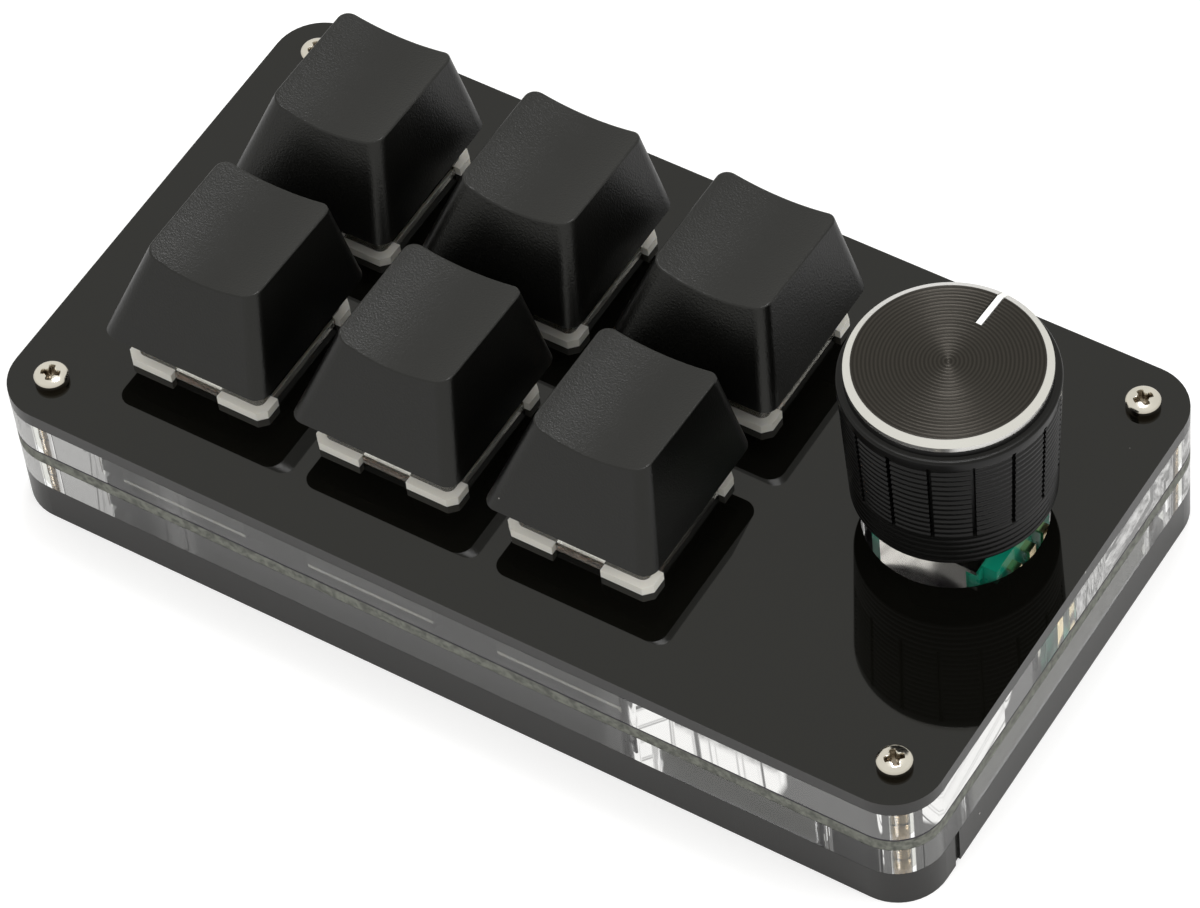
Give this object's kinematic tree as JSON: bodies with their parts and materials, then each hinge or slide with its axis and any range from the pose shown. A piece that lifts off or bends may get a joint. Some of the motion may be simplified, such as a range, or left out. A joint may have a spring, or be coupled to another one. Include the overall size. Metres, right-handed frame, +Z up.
{
  "type": "macro keypad with knob",
  "caption": "Desk macro keypad: sprung keys beside a knob that turns and presses, on a screwed case of stacked black and clear sheets.",
  "frame": {"origin": "on the resting surface, under the middle of the case", "axes": "+X along the long side towards the knob, +Y away from the user, +Z up"},
  "size_m": [0.1, 0.0546, 0.0374],
  "materials": {
    "black_acrylic": "polished black sheet, darker sawn edge",
    "clear_acrylic": "clear polished sheet",
    "board": "dark solder mask, pale green-grey edge",
    "nickel_screw": "bright nickel plate",
    "steel": "plain steel",
    "black_plastic": "matt moulded black",
    "white_plastic": "milky moulded white",
    "clear_plastic": "smoky clear moulding",
    "copper": "bare copper alloy",
    "spring_steel": "bright spring wire",
    "slider_plastic": "self-lubricating moulded plastic",
    "keycap_plastic": "fine textured black",
    "green_resin": "green moulded resin",
    "bright_frame": "bright folded sheet",
    "die_cast": "turned light metal",
    "gold_terminal": "plated terminals",
    "knob_plastic": "satin black grip with fine rings",
    "knob_cap_metal": "black turned face, bright cut rim",
    "pointer_white": "white inlay"
  },
  "bodies": {
    "case": {"base_plate": "black_acrylic", "lower_spacer": "clear_acrylic", "circuit_board": "board", "upper_spacer": "clear_acrylic", "top_plate": "black_acrylic", "case_screws": "nickel_screw", "corner_nuts": "steel", "usb_shell": "steel", "usb_tongue": "black_plastic", "controller_chip": "black_plastic", "switch_1_housing": "white_plastic", "switch_1_cover": "clear_plastic", "switch_1_contacts": "copper", "switch_1_spring": "spring_steel", "switch_2_housing": "white_plastic", "switch_2_cover": "clear_plastic", "switch_2_contacts": "copper", "switch_2_spring": "spring_steel", "switch_3_housing": "white_plastic", "switch_3_cover": "clear_plastic", "switch_3_contacts": "copper", "switch_3_spring": "spring_steel", "switch_4_housing": "white_plastic", "switch_4_cover": "clear_plastic", "switch_4_contacts": "copper", "switch_4_spring": "spring_steel", "switch_5_housing": "white_plastic", "switch_5_cover": "clear_plastic", "switch_5_contacts": "copper", "switch_5_spring": "spring_steel", "switch_6_housing": "white_plastic", "switch_6_cover": "clear_plastic", "switch_6_contacts": "copper", "switch_6_spring": "spring_steel", "encoder_base": "green_resin", "encoder_frame": "bright_frame", "encoder_bushing": "die_cast", "encoder_terminals": "gold_terminal", "encoder_dome": "spring_steel"},
    "key_1": {"key_1_stem": "slider_plastic", "key_1_cap": "keycap_plastic"},
    "key_2": {"key_2_stem": "slider_plastic", "key_2_cap": "keycap_plastic"},
    "key_3": {"key_3_stem": "slider_plastic", "key_3_cap": "keycap_plastic"},
    "key_4": {"key_4_stem": "slider_plastic", "key_4_cap": "keycap_plastic"},
    "key_5": {"key_5_stem": "slider_plastic", "key_5_cap": "keycap_plastic"},
    "key_6": {"key_6_stem": "slider_plastic", "key_6_cap": "keycap_plastic"},
    "encoder_push": {"encoder_plunger": "white_plastic"},
    "knob": {"encoder_shaft": "die_cast", "knob_body": "knob_plastic", "knob_cap": "knob_cap_metal", "knob_pointer": "pointer_white"}
  },
  "joints": [
    {"name": "key_1_press", "type": "slide", "parent": "case", "child": "key_1", "axis": [0, 0, -1], "range_m": [0, 0.004], "stiffness_N_per_m": 62, "springref_m": -0.0056, "deforming": ["switch_1_spring"]},
    {"name": "key_2_press", "type": "slide", "parent": "case", "child": "key_2", "axis": [0, 0, -1], "range_m": [0, 0.004], "stiffness_N_per_m": 62, "springref_m": -0.0056, "deforming": ["switch_2_spring"]},
    {"name": "key_3_press", "type": "slide", "parent": "case", "child": "key_3", "axis": [0, 0, -1], "range_m": [0, 0.004], "stiffness_N_per_m": 62, "springref_m": -0.0056, "deforming": ["switch_3_spring"]},
    {"name": "key_4_press", "type": "slide", "parent": "case", "child": "key_4", "axis": [0, 0, -1], "range_m": [0, 0.004], "stiffness_N_per_m": 62, "springref_m": -0.0056, "deforming": ["switch_4_spring"]},
    {"name": "key_5_press", "type": "slide", "parent": "case", "child": "key_5", "axis": [0, 0, -1], "range_m": [0, 0.004], "stiffness_N_per_m": 62, "springref_m": -0.0056, "deforming": ["switch_5_spring"]},
    {"name": "key_6_press", "type": "slide", "parent": "case", "child": "key_6", "axis": [0, 0, -1], "range_m": [0, 0.004], "stiffness_N_per_m": 62, "springref_m": -0.0056, "deforming": ["switch_6_spring"]},
    {"name": "knob_press", "type": "slide", "parent": "case", "child": "encoder_push", "axis": [0, 0, -1], "range_m": [0, 0.0005], "stiffness_N_per_m": 1500, "springref_m": -0.00133, "deforming": ["encoder_dome"]},
    {"name": "knob_turn", "type": "hinge", "parent": "encoder_push", "child": "knob", "pos_m": [0.0364, 0.004, 0.03], "axis": [0, 0, 1], "continuous": true}
  ]
}
